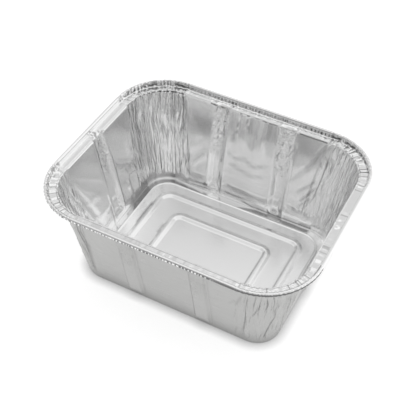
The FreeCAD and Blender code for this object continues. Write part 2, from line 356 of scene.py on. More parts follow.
@dataclass(frozen=True)
class Creases:
    """Flat strips of foil that meet in narrow sharp creases, each strip standing a little higher or lower.

    Attributes:
        pitch: mean width of a strip.
        width: width of a crease.
        reach: distance along the section over which a strip changes its height.
        seed: start of the random numbers.
        wander: how far a crease strays sideways on its way along the section.
        notch: how much a crease sinks between its strips, from 0 to 1.
        stray_over: distance along the section between one stray and the next.
    """

    pitch: float
    width: float
    reach: float
    seed: int
    wander: float = 1.0
    notch: float = 0.5
    stray_over: float = 12.0

    def shape(self, outline: Outline, down: np.ndarray,
              laid: np.ndarray | None = None) -> tuple[np.ndarray, np.ndarray]:
        """Give the strips' height, from about -1 to 1, and how far each point is down a crease, 0 to 1.

        Args:
            outline: the points round the pan.
            down: distance along the section of each row of points.
            laid: the run at each point, where it isn't the outline's own.

        Returns:
            The heights and the depths, one row each for each value of `down`.
        """
        run, along = np.meshgrid(outline.run, down)
        run = run if laid is None else laid
        stray = Folds(7.0, self.stray_over, self.seed + STRAY_SEED, lasting=0.2, soft=True)
        run = run + self.wander * stray.height(outline, down, laid)
        rng = np.random.default_rng(self.seed)
        count = max(4, round(outline.length / self.pitch))
        gaps = rng.uniform(0.4, 1.6, count)
        widths = gaps / gaps.sum() * outline.length
        edges = np.concatenate([[0.0], np.cumsum(widths)])
        place = np.interp(run % outline.length, edges, np.arange(count + 1))
        levels = int(np.ceil((down.max() - down.min()) / self.reach)) + 3
        strips = rng.uniform(-1, 1, (levels, count))
        sinks = np.clip(rng.uniform(-0.6, 1.0, (levels, count)), 0, 1)
        column = np.floor(place).astype(int) % count
        following = (column + 1) % count
        level = (along - down.min()) / self.reach + rng.uniform(0, 1, count)[column]
        row = np.clip(np.floor(level).astype(int), 0, levels - 2)
        rest = np.clip(level - row, 0, 1)
        passed = place - np.floor(place)
        near_next = np.clip(1 - (1 - passed) * widths[column] / self.width, 0, 1)
        near_last = np.clip(1 - passed * widths[column] / self.width, 0, 1)
        strip = look_up(strips, row, rest, column) * (1 - near_next)
        strip = strip + look_up(strips, row, rest, following) * near_next
        sunk = np.maximum(look_up(sinks, row, rest, following) * near_next,
                          look_up(sinks, row, rest, column) * near_last)
        return strip * (1 - self.notch) - self.notch * sunk, sunk


@dataclass(frozen=True)
class Kink:
    """One crease or soft fold of a wall, through a few points of it.

    Attributes:
        side: the side that the points are measured on; a place past its end lies in the next corner.
        points: place along the side and height above the table of each point.
        width: from the middle of the kink to where it ends, on each side.
        depth: how far it sinks; a ridge is less than nothing.
        soft: whether it is rounded.
        shade: how much shade is painted along its middle.
    """

    side: Side
    points: tuple[tuple[float, float], ...]
    width: float = 0.7
    depth: float = 0.25
    soft: bool = False
    shade: float = 0.5


# ---------------------------------------------------------------------------------------------- the section


# Half the straight stretches of the platform's edge and of each bead on it, along and across.
PLATFORM = (42.2, 27.2)
OUTER_BEAD = (37.8, 22.5)
INNER_BEAD = (25.0, 11.5)
# The most of a straight that the rounding at one end of it may take.
BEND_SHARE = 0.48


@dataclass(frozen=True)
class Turn:
    """One corner of the section, before it is rounded.

    Attributes:
        core_x, core_y: half sizes of the outline's core there.
        reach: how far the outline stands out from its core.
        height: above the table.
        bend: length of section on each side that the rounding takes.
        bend_steps: points in the rounding.
        step: the longest stretch between points on the way to the next corner.
    """

    core_x: float
    core_y: float
    reach: float
    height: float
    bend: float = 0.0
    bend_steps: int = 3
    step: float = 1.0

    @property
    def point(self) -> np.ndarray:
        """The corner as one row of numbers."""
        return np.array([self.core_x, self.core_y, self.reach, self.height])


@dataclass
class Section:
    """The foil cut across, from the free end of the rolled edge to the middle of the floor.

    Attributes:
        outline: the points round the pan.
        gauge: thickness of the foil.
        mouth_reach: the reach at the top of the wall.
        seam_reach: the reach on the flange at which the rim's mesh ends and the wall's begins.
        flange_height, flange_reach: height of the flange, and the reach of its outer edge.
        roll_reach, roll_height, roll_radius: the middle and the size of the rolled edge.
        base_reach: the reach at the foot of the wall.
        floor_top: height of the platform.
        bead_height: how far the beads stand up from it.
        mouth_bend, wall_end: how far below the seam the middle of the mouth's bend and the wall's end lie.
    """

    outline: Outline
    gauge: float = 0.1
    mouth_reach: float = 23.5
    seam_reach: float = 24.3
    flange_height: float = 59.15
    flange_reach: float = 28.0
    roll_reach: float = 29.35
    roll_height: float = 61.25
    roll_radius: float = 1.1
    base_reach: float = 13.0
    floor_top: float = 1.75
    bead_height: float = 0.85
    mouth_bend: float = 0.95
    wall_end: float = 62.0

    @property
    def core(self) -> tuple[float, float]:
        """The core that the walls and the rim share."""
        return self.outline.core_x, self.outline.core_y

    def roll_turns(self) -> list[Turn]:
        """Curl the free edge over outwards and back under itself."""
        turns = []
        for degrees in range(-140, 191, 15):
            angle = math.radians(degrees)
            turns.append(Turn(*self.core, self.roll_reach + self.roll_radius * math.cos(angle),
                              self.roll_height + self.roll_radius * math.sin(angle), step=0.35))
        return turns

    def rim_turns(self) -> list[Turn]:
        """Lead from the rolled edge down the riser and in along the flange to the seam at the mouth."""
        return [
            *self.roll_turns(),
            Turn(*self.core, self.flange_reach, self.flange_height, bend=0.8, bend_steps=4, step=0.5),
            Turn(*self.core, self.seam_reach, self.flange_height),
        ]

    def wall_turns(self) -> list[Turn]:
        """Lead from the seam at the mouth down the wall to the foot of the platform."""
        floor = self.gauge / 2
        lean = (self.mouth_reach - self.base_reach) / self.flange_height
        # The points lie closer together near the bend at the mouth.
        below = 1.8
        return [
            Turn(*self.core, self.seam_reach, self.flange_height, step=0.5),
            Turn(*self.core, self.mouth_reach, self.flange_height, bend=0.5, bend_steps=4, step=0.55),
            Turn(*self.core, self.mouth_reach - lean * below, self.flange_height - below, step=1.75),
            Turn(*self.core, self.base_reach, floor, bend=0.6, bend_steps=4, step=0.6),
            Turn(*PLATFORM, 12.0, floor + 1.0, bend=0.2, step=0.5),
            Turn(*PLATFORM, 11.7, floor + 1.25),
        ]

    def floor_turns(self) -> list[Turn]:
        """Lead from the foot of the platform over its two beads to the middle of the floor."""
        top = self.floor_top
        return [
            Turn(*PLATFORM, 11.7, self.gauge / 2 + 1.25, step=0.8),
            Turn(*PLATFORM, 10.9, top + 0.25, bend=0.25, step=0.4),
            Turn(*PLATFORM, 9.9, top - 0.05, bend=0.2, step=1.2),
            *self.bead_turns(OUTER_BEAD, (9.2, 7.2, 6.3, 4.6), 1.4),
            *self.bead_turns(INNER_BEAD, (7.3, 5.4, 4.4, 2.7), 0.9),
            Turn(*INNER_BEAD, 0.0, top, step=1.3),
            Turn(13.5, 0.0, 0.0, top),
        ]

    def bead_turns(self, core: tuple[float, float], reaches: tuple[float, ...], step: float) -> list[Turn]:
        """Lead up and over one bead of the platform.

        Args:
            core: half the bead's straight stretches, along and across.
            reaches: the reach of its outer foot, of both edges of its crest, and of its inner foot.
            step: the longest stretch between points beyond it.

        Returns:
            The bead's four corners.
        """
        top, crest = self.floor_top, self.floor_top + self.bead_height
        outer_foot, outer_edge, inner_edge, inner_foot = reaches
        return [
            Turn(*core, outer_foot, top, bend=0.2, step=0.5),
            Turn(*core, outer_edge, crest, bend=0.3, step=0.4),
            Turn(*core, inner_edge, crest, bend=0.2, step=0.6),
            Turn(*core, inner_foot, top, bend=0.25, step=step),
        ]

    @staticmethod
    def trace(turns: list[Turn]) -> np.ndarray:
        """Round the corners of a run of turns and divide its straights.

        Args:
            turns: the corners, in order.

        Returns:
            One row for each point: core_x, core_y, reach and height.
        """
        rows: list[np.ndarray] = [turns[0].point]
        for before, turn, after in zip(turns, turns[1:], turns[2:] + [None]):
            corner = arrive = leave = turn.point
            rounded = turn.bend and after is not None
            if rounded:
                for_in = Section.span(before.point, corner)
                for_out = Section.span(corner, after.point)
                arrive = corner + (before.point - corner) * min(BEND_SHARE, turn.bend / for_in)
                leave = corner + (after.point - corner) * min(BEND_SHARE, turn.bend / for_out)
            start = rows[-1]
            steps = max(1, round(Section.span(start, arrive) / before.step))
            rows.extend(start + (arrive - start) * k / steps for k in range(1, steps + 1))
            if rounded:
                for k in range(1, turn.bend_steps + 1):
                    part = k / turn.bend_steps
                    rows.append(arrive * (1 - part) ** 2 + corner * 2 * part * (1 - part) + leave * part ** 2)
        return np.array(rows)

    @staticmethod
    def span(first: np.ndarray, second: np.ndarray) -> float:
        """Measure the foil between two points of the section, midway between the two walls' lengths."""
        gap = second - first
        return max(1e-6, math.hypot((gap[0] + gap[1]) / 2 + gap[2], gap[3]))


# ------------------------------------------------------------------------------------- what the press leaves


@dataclass(frozen=True)
class Rib:
    """One rib of a wall, a shallow channel seen from inside.

    Attributes:
        side, middle: where it is.
        steep: width of its steep sides.
        proud: how far its edges stand up.
        toe: height of its lower end.
        head: distance under the mouth over which it dies away, or 0 where it runs on over the flange.
    """

    side: Side
    middle: float
    steep: float = 2.6
    proud: float = 0.2
    toe: float = 3.0
    head: float = 0.0


@dataclass
class Pressing:
    """What the press leaves at single places: ribs and kinks, and painted shade along the mouth in parts.

    Attributes:
        outline: the points round the pan.
        section: the foil cut across.
        rib_depth: how deep a rib's channel is.
        rib_half: half its width.
        rib_places: the ribs.
        kinks: single creases and folds.
        pressed: stretches of the back wall's bend at the mouth where shade is painted: two places and a
            width.
    """

    outline: Outline
    section: Section
    rib_depth: float = 1.2
    rib_half: float = 4.8
    rib_places: tuple[Rib, ...] = (
        Rib(Side.BACK, -20.0, 3.6, 0.18),
        Rib(Side.BACK, 20.0, 3.6, 0.18, 1.2),
        Rib(Side.FRONT, -20.0, 1.6, head=5.0),
        Rib(Side.FRONT, 20.0, 1.6, head=5.0),
        Rib(Side.LEFT, 0.0, 2.4, 0.34),
        Rib(Side.RIGHT, 0.0, head=3.0),
    )
    kinks: tuple[Kink, ...] = ()
    pressed: tuple[tuple[float, float, float], ...] = ()

    def ribs(self, height: np.ndarray) -> np.ndarray:
        """Sink the ribs' channels.

        Args:
            height: of each row of points above the table, as a column.

        Returns:
            The depth at each point; an edge that stands up is less than nothing.
        """
        depth = np.zeros((len(height), self.outline.count))
        for rib in self.rib_places:
            off = np.abs(self.outline.along(rib.side) - rib.middle)
            channel = smooth((self.rib_half - off) / rib.steep)
            edge = window(off, self.rib_half + 0.1, self.rib_half + 0.5, 0.6)
            part = smooth((height - rib.toe) / 2.4)
            if rib.head:
                part = part * smooth((self.section.flange_height - height) / rib.head)
            depth += (self.rib_depth * channel - rib.proud * edge) * part
        return depth

    def near_rib(self) -> np.ndarray:
        """Be 1 on the ribs and fall to 0 a little way beside them, in one row."""
        offs = [np.abs(self.outline.along(rib.side) - rib.middle) for rib in self.rib_places]
        return 1 - smooth((np.min(offs, axis=0) - 4.0) / 1.5)

    def follow(self, kink: Kink, height: np.ndarray) -> tuple[np.ndarray, np.ndarray]:
        """Measure from one kink to each point.

        Args:
            kink: the kink.
            height: of each row of points above the table, as a column.

        Returns:
            The distance of each point, and how much of the kink's length lies before the place nearest to it.
        """
        runs = [self.outline.run_at(kink.side, place) for place, _ in kink.points]
        heights = [level for _, level in kink.points]
        ways = np.diff([runs, heights])
        sizes = np.hypot(*ways)
        best = np.full((len(height), self.outline.count), FAR_OFF)
        travelled = np.zeros_like(best)
        for number, (way_run, way_up) in enumerate(ways.T):
            along = self.outline.off_run(runs[number])
            rise = height - heights[number]
            part = np.clip((along * way_run + rise * way_up) / sizes[number] ** 2, 0, 1)
            off = np.hypot(along - part * way_run, rise - part * way_up)
            passed = (sizes[:number].sum() + part * sizes[number]) / sizes.sum()
            travelled = np.where(off < best, passed, travelled)
            best = np.minimum(best, off)
        return best, travelled

    def kinked(self, height: np.ndarray) -> tuple[np.ndarray, np.ndarray]:
        """Add up the single kinks.

        Args:
            height: of each row of points above the table, as a column.

        Returns:
            How far each point sinks, and how much shade is painted on it.
        """
        sink = np.zeros((len(height), self.outline.count))
        shade = np.zeros_like(sink)
        for kink in self.kinks:
            off, travelled = self.follow(kink, height)
            # A kink runs out at both ends.
            taper = np.clip(5 * np.minimum(travelled + 0.04, 1.04 - travelled), 0, 1)
            shape = np.clip(1 - off / kink.width, 0, 1)
            sink += kink.depth * taper * (smooth(shape) if kink.soft else shape)
            fade = kink.width if kink.soft else 0.7 * kink.width
            shade = np.maximum(shade, kink.shade * taper * np.clip(1 - off / fade, 0, 1))
        return sink, shade

    def mouth_shade(self, down: np.ndarray) -> np.ndarray:
        """Paint shade along stretches of the bend at the mouth.

        Args:
            down: distance along the section of each row of points.

        Returns:
            How much shade is painted on the bend at each point, from 0 to 1.
        """
        width = np.zeros(self.outline.count)
        for low, high, wide in self.pressed:
            first, last = sorted(self.outline.run_at(Side.BACK, place) for place in (low, high))
            width = np.maximum(width, wide * window(self.outline.run, first, last, 0.4))
        off = np.abs(down[:, None] - self.section.mouth_bend)
        return np.clip((width[None, :] / 2 - off) / 0.12, 0, 1)


@dataclass
class PressedFoil:
    """The foil once it is pressed: how far each point of it has moved, and how it is marked there.

    Attributes:
        pressing: what the press leaves at single places.
        rows: the section's points.
        down: distance of each along the section, from the mouth towards the floor.
        outline, section: as in `pressing`.
        move: how far each point moves along the section's normal, inwards and upwards being positive.
        gap: how much shade is painted into the foil's colour at each point, in folds and other dark places,
            from 0 to 1.
        height, reach: of each row, as columns.
        reach_out: distance of each row from the pan's middle along X, as a column.
        wall, pleated, flange, riser, roll: how much each row belongs to that part, from 0 to 1, as columns.
        laid: the run at each point in true lengths.
        corner, wide_corner: how much each point belongs to a gathered corner, without and with what is
            beside it.
        straight: how much it belongs to a straight side.
        channels: depth of the ribs' channels.
    """

    pressing: Pressing
    rows: np.ndarray
    down: np.ndarray
    outline: Outline = field(init=False)
    section: Section = field(init=False)
    move: np.ndarray = field(init=False)
    gap: np.ndarray = field(init=False)
    height: np.ndarray = field(init=False)
    reach: np.ndarray = field(init=False)
    reach_out: np.ndarray = field(init=False)
    wall: np.ndarray = field(init=False)
    pleated: np.ndarray = field(init=False)
    flange: np.ndarray = field(init=False)
    riser: np.ndarray = field(init=False)
    roll: np.ndarray = field(init=False)
    laid: np.ndarray = field(init=False)
    corner: np.ndarray = field(init=False)
    wide_corner: np.ndarray = field(init=False)
    straight: np.ndarray = field(init=False)
    channels: np.ndarray = field(init=False)

    def __post_init__(self) -> None:
        """Say how much each point belongs to each part of the pan, and press the foil."""
        self.outline, self.section = self.pressing.outline, self.pressing.section
        below = self.down[:, None]
        self.reach, self.height = self.rows[:, 2][:, None], self.rows[:, 3][:, None]
        self.reach_out = self.rows[:, 0][:, None] + self.reach
        self.wall = ((below > 0) & (below < self.section.wall_end)) * 1.0
        self.pleated = self.wall * smooth((self.height - 2.5) / 5.0)
        rim = (below <= 0) * 1.0
        risen = rim * smooth((self.height - self.section.flange_height) / 0.6)
        self.roll = rim * ((self.reach > self.section.flange_reach + 0.25) & (self.height > 60.0))
        self.flange, self.riser = rim * (1 - risen), risen * (1 - self.roll)
        self.laid, off = self.outline.laid(self.rows[:, 2])
        arc = self.outline.arc / 2
        self.wide_corner = 1 - smooth((off - arc) / 6.0)
        # The near left-hand corner hardly reaches along the front wall.
        shortened = 0.75 * self.outline.on(Side.FRONT) * (self.outline.across < 0)
        self.corner = (1 - smooth((off - arc) / 2.0)) * (1 - shortened)
        self.straight = 1 - self.corner
        self.channels = self.pressing.ribs(self.height)
        self.move = np.zeros((len(self.rows), self.outline.count))
        self.gap = np.zeros_like(self.move)
        self.move -= self.channels * self.wall
        for step in (self.gather_corners, self.bend_panels, self.flute_back, self.crumple_ribs,
                     self.kink_walls, self.slope_groove, self.steepen_beads, self.shade_floor, self.dent_left,
                     self.lap_flange, self.bend_flange, self.tooth_rim, self.shade_rim, self.shade_roll):
            step()

    def folds(self, pitch: float, reach: float, seed: int, **options) -> np.ndarray:
        """Give the height of one net of folds at each point."""
        return Folds(pitch, reach, seed, **options).height(self.outline, self.down)

    def paint_shade(self, amount: np.ndarray) -> None:
        """Paint shade into the foil's colour, to at least some amount."""
        self.gap = np.maximum(self.gap, amount)

    def straight_on(self, side: Side) -> np.ndarray:
        """Say how much each point belongs to the straight part of a side."""
        return self.outline.on(side) * self.straight

    def changing(self, *stops: tuple[Side, float, float]) -> np.ndarray:
        """Let a value change round the pan.

        Args:
            stops: side, place along it and value there, in their order round the pan.

        Returns:
            The value at each point, in one row.
        """
        places = [self.outline.run_at(side, place) for side, place, _ in stops]
        return np.interp(self.outline.run, places, [value for _, _, value in stops])[None, :]

    def past(self, side: Side, place: float) -> np.ndarray:
        """Give each point's distance round the pan past a place along a side, in one row."""
        return (self.outline.run - self.outline.run_at(side, place))[None, :]

    def gather_corners(self) -> None:
        """Gather the corners of the wall in uneven pleats, creased where they meet."""
        outline, down, laid = self.outline, self.down, self.laid
        pleats = Folds(4.6, 13.0, 11, lasting=0.45, zigzag=True, wander=1.8).height(outline, down, laid)
        strips, sunk = Creases(2.0, 0.38, 11.0, 12, wander=1.8).shape(outline, down, laid)
        small, small_sunk = Creases(1.15, 0.3, 7.0, 13, wander=1.4).shape(outline, down, laid)
        curved = outline.on(*CORNERS)
        # The near right-hand corner was crushed more than the others.
        rough = 0.85 + 0.6 * outline.on(Side.FRONT_RIGHT)
        gathered = self.corner * self.pleated
        self.move += gathered * rough * (0.24 * pleats + 0.66 * strips + 0.24 * small * curved)
        self.move += gathered * (rough - 0.85) * 0.5 * pleats
        # Shade is painted into the creases where the pleats meet.
        crease_shade = (0.3 + 0.5 * curved) * smooth(1.9 * sunk - 0.5)
        small_crease_shade = 0.6 * curved * smooth(1.9 * small_sunk - 0.6)
        self.paint_shade(gathered * np.maximum(crease_shade, small_crease_shade))
        # Beside the corners the pleats run out.
        self.move += (self.wide_corner - self.corner) * self.pleated * 0.16 * strips

    def bend_panels(self) -> None:
        """Bend the panels gently, and so finely in between that only their reflections show it."""
        slow = self.folds(19.0, 34.0, 21, lasting=0.5, soft=True)
        quick = self.folds(6.0, 19.0, 22, lasting=0.3, soft=True)
        calm = smooth((self.height - 1.0) / 6.0) * self.wall * self.straight
        self.move += calm * (0.16 * slow + 0.025 * quick)
        # The back wall stands in a little at half height.
        part = np.clip(self.height / self.section.flange_height, 0, 1)
        self.move += 2.4 * part * (1 - part) * self.wall * self.straight_on(Side.BACK)

    def flute_back(self) -> None:
        """Flute the middle of the back wall under the flange."""
        middle = window(self.outline.along(Side.BACK), -13.0, 13.0, 3.0)
        flutes = self.folds(4.6, 40.0, 23, lasting=0.8, zigzag=True, wander=0.6)
        narrow = self.folds(2.3, 30.0, 56, lasting=0.7, zigzag=True, wander=0.6)
        ragged = self.folds(3.0, 30.0, 24, lasting=0.9)
        upper = smooth((self.height - 37 - 4 * ragged) / 9)
        self.move += self.wall * middle * (0.36 * flutes + 0.16 * narrow) * upper

    def crumple_ribs(self) -> None:
        """Crumple the tops of the ribs with painted shade in the crumples, and paint shade beside the back
        wall's.
        """
        wall, height, at_back = self.wall, self.height, self.outline.along(Side.BACK)
        tops = wall * self.pressing.near_rib() * window(height, 40.0, 57.0, 10.0)
        crumple = tops * (1 - 0.8 * self.straight_on(Side.FRONT))
        for low, high, fade, foot, top, rise in ((-10.0, -8.5, 0.8, 47.0, 56.0, 3.0),
                                                 (-4.5, -3.0, 0.8, 47.0, 56.0, 3.0),
                                                 (17.5, 20.0, 1.0, 24.0, 56.0, 6.0)):
            column = wall * window(at_back, low, high, fade) * window(height, foot, top, rise)
            crumple = np.maximum(crumple, column)
        rough = self.folds(1.3, 2.2, 26, lasting=0.2, wander=0.8)
        self.move += 0.24 * crumple * rough
        # Shade is painted into the crumples.
        self.paint_shade(0.4 * crumple * smooth((np.abs(rough) - 0.45) / 0.2))
        # The foot of the left-hand one is crumpled too, with a spot of painted shade beside it.
        self.move += 0.3 * wall * rough * window(at_back, -22.5, -17.5, 1.5) * window(height, 0.0, 5.0, 2.5)
        spot = np.hypot((at_back + 25.5) / 1.9, (height - 4.0) / 1.5)
        self.paint_shade(0.7 * wall * smooth(1.6 * (1 - spot)))
        # Lower down, shade is painted in a strip along the right-hand side of both ribs of this wall.
        for middle, top, shade_amount in ((-20.0, 12.0, 0.45), (20.0, 20.0, 0.2)):
            edge = middle + self.pressing.rib_half
            beside = window(at_back, edge - 0.8, edge, 0.3)
            self.paint_shade(shade_amount * wall * beside * window(height, 5.0, top, 5.0))

    def kink_walls(self) -> None:
        """Put the single kinks in the walls, with shade painted along them."""
        sink, shade = self.pressing.kinked(self.height)
        self.move -= self.wall * sink
        self.paint_shade(self.wall * shade)

    def slope_groove(self) -> None:
        """Slope the groove round the platform up to it, in places over only part of its width."""
        # The groove runs from 54.2 to 57.5 out along X.
        part = np.clip((self.reach_out - 54.2) / 3.3, 0, 1)
        bottom = (self.height < 1.4) * (self.reach_out > 53.6) * (self.reach_out < 57.6)
        share = self.changing(
            (Side.BACK, 60.0, 0.0), (Side.BACK, 46.0, 0.0), (Side.BACK, 44.5, 1.0),
            (Side.BACK, 9.0, 1.0), (Side.BACK, 1.0, 0.4), (Side.BACK, -4.0, 0.0),
            (Side.BACK, -20.0, 0.0), (Side.BACK, -30.0, 0.4), (Side.BACK, -46.0, 1.0))
        fall = np.where(part < share, 1 - share, 1 - part)
        self.move -= bottom * np.where(self.reach_out < 54.1, 0.7, 1.0) * fall
        # Round the right-hand corner it tilts the other way.
        tilted = self.changing((Side.BACK, 68.0, 0.0), (Side.BACK, 60.0, 0.6),
                               (Side.BACK, 46.0, 0.5), (Side.BACK, 44.5, 0.0))
        self.move += bottom * tilted * np.minimum(part / 0.8, (1 - part) / 0.2)

    def steepen_beads(self) -> None:
        """Drop the beads steeply towards the middle, on the right."""
        bearing = np.arctan2(self.outline.out_y, self.outline.out_x)
        on_right = smooth((0.75 - np.abs(bearing)) / 0.5)[None, :]
        crest = self.section.bead_height
        for brink in (44.1, 29.4):
            steep = smooth((self.reach_out - brink + 1.4) / 0.4) * (self.reach_out < brink + 0.3)
            rise = np.clip(self.section.floor_top + crest * steep - self.height, 0, crest) * steep
            self.move += rise * on_right

    def shade_floor(self) -> None:
        """Paint shade into the groove round the platform and onto the beads' feet in places."""
        wall, height, reach_out = self.wall, self.height, self.reach_out
        at_back, at_left = self.outline.along(Side.BACK), self.outline.along(Side.LEFT)
        # How far out the groove's painted shade reaches, round the pan.
        shade_width = self.changing(
            (Side.BACK, -23.0, 0.0), (Side.BACK, -30.0, 0.8), (Side.BACK, -44.0, 2.4),
            (Side.BACK, -60.0, 3.0), (Side.LEFT, 28.0, 3.0), (Side.LEFT, 13.0, 3.0), (Side.LEFT, 8.0, 0.0))
        shade_amount = (height < 2.2) * 0.5 * smooth((53.7 + shade_width - reach_out) / 0.5) * (shade_width > 0.1)
        self.paint_shade(shade_amount * smooth((reach_out - 53.1) / 0.3))
        # Shade is painted too where the right-hand rib's foot opens into the groove.
        opening = window(reach_out, 54.6, 58.2, 0.5) * window(at_back, 16.8, 24.6, 1.0)
        self.paint_shade(0.42 * (height < 0.9) * opening)
        # Along the left, shade is painted on the beads' feet in places.
        self.paint_shade(0.5 * window(reach_out, 46.6, 47.6, 0.4) * window(at_left, 2.0, 22.0, 4.0))
        steps = smooth((np.abs((at_left % 2.4) - 1.2) - 0.45) / 0.2)
        self.paint_shade(0.5 * window(reach_out, 31.9, 32.8, 0.3) * window(at_left, -4.0, 16.0, 0.5) * steps)
        # Shade is painted on the foot of the wall round the left-hand back corner, up to the ragged ends of
        # the pleats.
        first, last = self.outline.run_at(Side.BACK, -70.0), self.outline.run_at(Side.LEFT, 14.0)
        tips = 6.0 + 3.0 * self.folds(2.4, 80.0, 25, lasting=0.9)
        foot = smooth((tips - height) / 3.0) * wall * window(self.outline.run, first, last, 6.0)[None, :]
        self.paint_shade((0.12 + 0.32 * self.outline.on(Side.LEFT)) * foot)

    def dent_left(self) -> None:
        """Dent the left wall beside the far corner, and slacken its bend at the mouth."""
        dents = self.folds(2.6, 12.0, 57, lasting=0.3, wander=0.8)
        at_left = self.outline.along(Side.LEFT)
        patch = self.wall * window(at_left, 9.0, 29.0, 5.0) * window(self.height, 9.0, 24.0, 5.0)
        self.move += 0.3 * patch * dents
        # Shade is painted on part of the dents.
        self.paint_shade(0.3 * patch * smooth((dents - 0.1) / 0.35))
        slack = np.clip(1 - np.abs(self.down - self.section.mouth_bend) / 0.9, 0, 1)[:, None]
        self.move -= 0.42 * slack * self.straight_on(Side.LEFT)

    def lap_flange(self) -> None:
        """Lap the flange in steps in the corners, with painted shade in the tight folds between them."""
        outline, down = self.outline, self.down
        laps, lap_gap = Creases(2.3, 0.4, 60.0, 41, wander=0.0, notch=0.45).shape(outline, down)
        wide_laps, wide_gap = Creases(2.8, 0.45, 60.0, 52, wander=0.0, notch=0.55).shape(outline, down)
        tilts = self.folds(2.1, 60.0, 45, lasting=0.9, zigzag=True)
        gentle = outline.on(Side.FRONT_RIGHT)
        narrow = outline.on(Side.BACK_RIGHT) * smooth(self.past(Side.BACK, 62.0) / 4.0)
        rightmost = (gentle + outline.on(Side.BACK_RIGHT)) * (1 - narrow)
        gathered = self.flange * self.corner
        self.move += gathered * (1 - rightmost) * (0.38 + 0.5 * narrow) * laps
        self.move += gathered * (1 - rightmost) * 0.22 * tilts
        self.move += gathered * rightmost * (1 - 0.5 * gentle) * (0.5 * wide_laps + 0.12 * tilts)
        # Shade is painted into the tight folds between the laps.
        fold_shade = (1 - rightmost) * smooth((1.8 + 1.6 * narrow) * lap_gap - 0.4)
        fold_shade = fold_shade + rightmost * (1 - 0.5 * gentle) * smooth(3.4 * wide_gap - 0.4)
        self.paint_shade(gathered * fold_shade)
        # The mouth's bend is scalloped where the gathered wall meets the flange.
        scallops = self.folds(1.6, 60.0, 46, lasting=0.9, zigzag=True)
        bend = window(down, 0.2, 1.5, 0.5)[:, None]
        self.move += bend * self.corner * 0.42 * scallops

    def bend_flange(self) -> None:
        """Leave the straight flange nearly flat, but dip it at the back and crumple it beside two ribs."""
        flange, down = self.flange, self.down
        back, front, right = (self.straight_on(side) for side in (Side.BACK, Side.FRONT, Side.RIGHT))
        fine = self.folds(1.15, 1.4, 42, lasting=0.3)
        lines = self.folds(1.5, 60.0, 51, lasting=0.9)
        broad = self.folds(2.4, 60.0, 54, lasting=0.9)
        unevenness = (0.012 + 0.05 * back) * fine + (0.02 + 0.04 * front + 0.07 * back) * lines
        self.move += flange * self.straight * unevenness
        self.move += flange * right * 0.17 * broad
        # Thin lines of shade are painted across the right-hand flange.
        self.paint_shade(flange * right * 0.35 * smooth((0.14 - np.abs(broad)) / 0.1))
        # The back flange dips towards the mouth.
        dip = np.interp(down, (-4.5, 0.6, 12.0), (0.0, 1.0, 0.0))[:, None]
        self.move -= 0.4 * dip * back
        # The ribs' channels run out over the flange, and two of them pull it into a small crumple with
        # painted shade in it.
        self.move -= self.channels * flange * np.clip(1 + down / 1.8, 0, 1)[:, None]
        knot = self.folds(1.3, 1.2, 49, lasting=0.1)
        for side, middle in ((Side.LEFT, 0.5), (Side.RIGHT, 0.0)):
            pulled = flange * window(self.outline.along(side), middle - 2.5, middle + 2.5, 1.5)
            self.move += 0.22 * pulled * knot
            self.paint_shade(0.6 * pulled * smooth((knot - 0.25) / 0.2))
        # Shade is painted along stretches of the back wall's bend at the mouth.
        self.paint_shade(self.pressing.mouth_shade(down))

    def tooth_rim(self) -> None:
        """Pleat the riser and the roll in the corners, and tooth them finely along the back."""
        corner, straight = self.corner, self.straight
        back, front = self.straight_on(Side.BACK), self.straight_on(Side.FRONT)
        teeth = self.folds(1.7, 5.0, 43, lasting=0.8, zigzag=True)
        tooth = self.folds(1.5, 1.5, 44, lasting=0.4, zigzag=True)
        self.move += self.riser * corner * 0.36 * teeth
        self.move += self.riser * straight * (0.015 + 0.34 * back) * tooth
        self.move -= self.roll * corner * 0.34 * np.abs(teeth)
        self.move -= self.roll * straight * (0.02 + 0.03 * back + 0.1 * front) * np.abs(tooth)

    def shade_rim(self) -> None:
        """Paint shade into the rim in many small spots and clefts, where it is crumpled."""
        corner, back = self.corner, self.straight_on(Side.BACK)
        shade_amount = smooth((self.folds(1.2, 0.8, 47, lasting=0.1) - 0.1) / 0.2)
        uneven = 0.75 + 0.8 * self.folds(3.2, 3.0, 55, lasting=0.4)
        cleft_shade = smooth(self.folds(1.0, 3.0, 50, lasting=0.8, zigzag=True) / 0.25)
        cleft_shade = cleft_shade * np.clip(uneven, 0.4, 1.15)
        sharp = np.maximum(shade_amount, cleft_shade)
        farther = 0.75 + 0.2 * smooth(self.past(Side.BACK, 12.0) / -14.0)
        self.paint_shade(self.riser * (farther * cleft_shade * back + 0.95 * sharp * corner))
        inner = self.roll * (self.reach < self.section.roll_reach - 0.4)
        in_corners = (0.6 - 0.4 * self.outline.on(Side.BACK_RIGHT)) * sharp * corner
        self.paint_shade(inner * (0.1 * cleft_shade * back + in_corners))
        # Short dashes of shade are painted on the front flange.
        ends = self.folds(1.5, 60.0, 48, lasting=0.9)
        self.paint_shade(self.flange * 0.12 * self.straight_on(Side.FRONT) * smooth((ends - 0.2) / 0.1))

    def shade_roll(self) -> None:
        """Paint the shadow under the roll, where it meets the flange."""
        past = self.past(Side.FRONT, -30.0)
        edge = self.section.roll_height + 0.6 + 0.15 * smooth(past / 60.0)
        under = smooth((edge - self.height) / 0.3) * (self.reach > self.section.roll_reach)
        nearest = self.outline.on(Side.FRONT_LEFT, Side.FRONT, Side.FRONT_RIGHT)
        notches = self.folds(0.85, 60.0, 53, lasting=0.9, zigzag=True)
        dotted = np.maximum(0.12 + 0.88 * smooth((notches + 0.15) / 0.25), smooth((past - 52.0) / 16.0))
        shadow = np.maximum(0.12 + 0.3 * self.outline.on(Side.LEFT), nearest * dotted)
        self.paint_shade(self.roll * under * shadow)

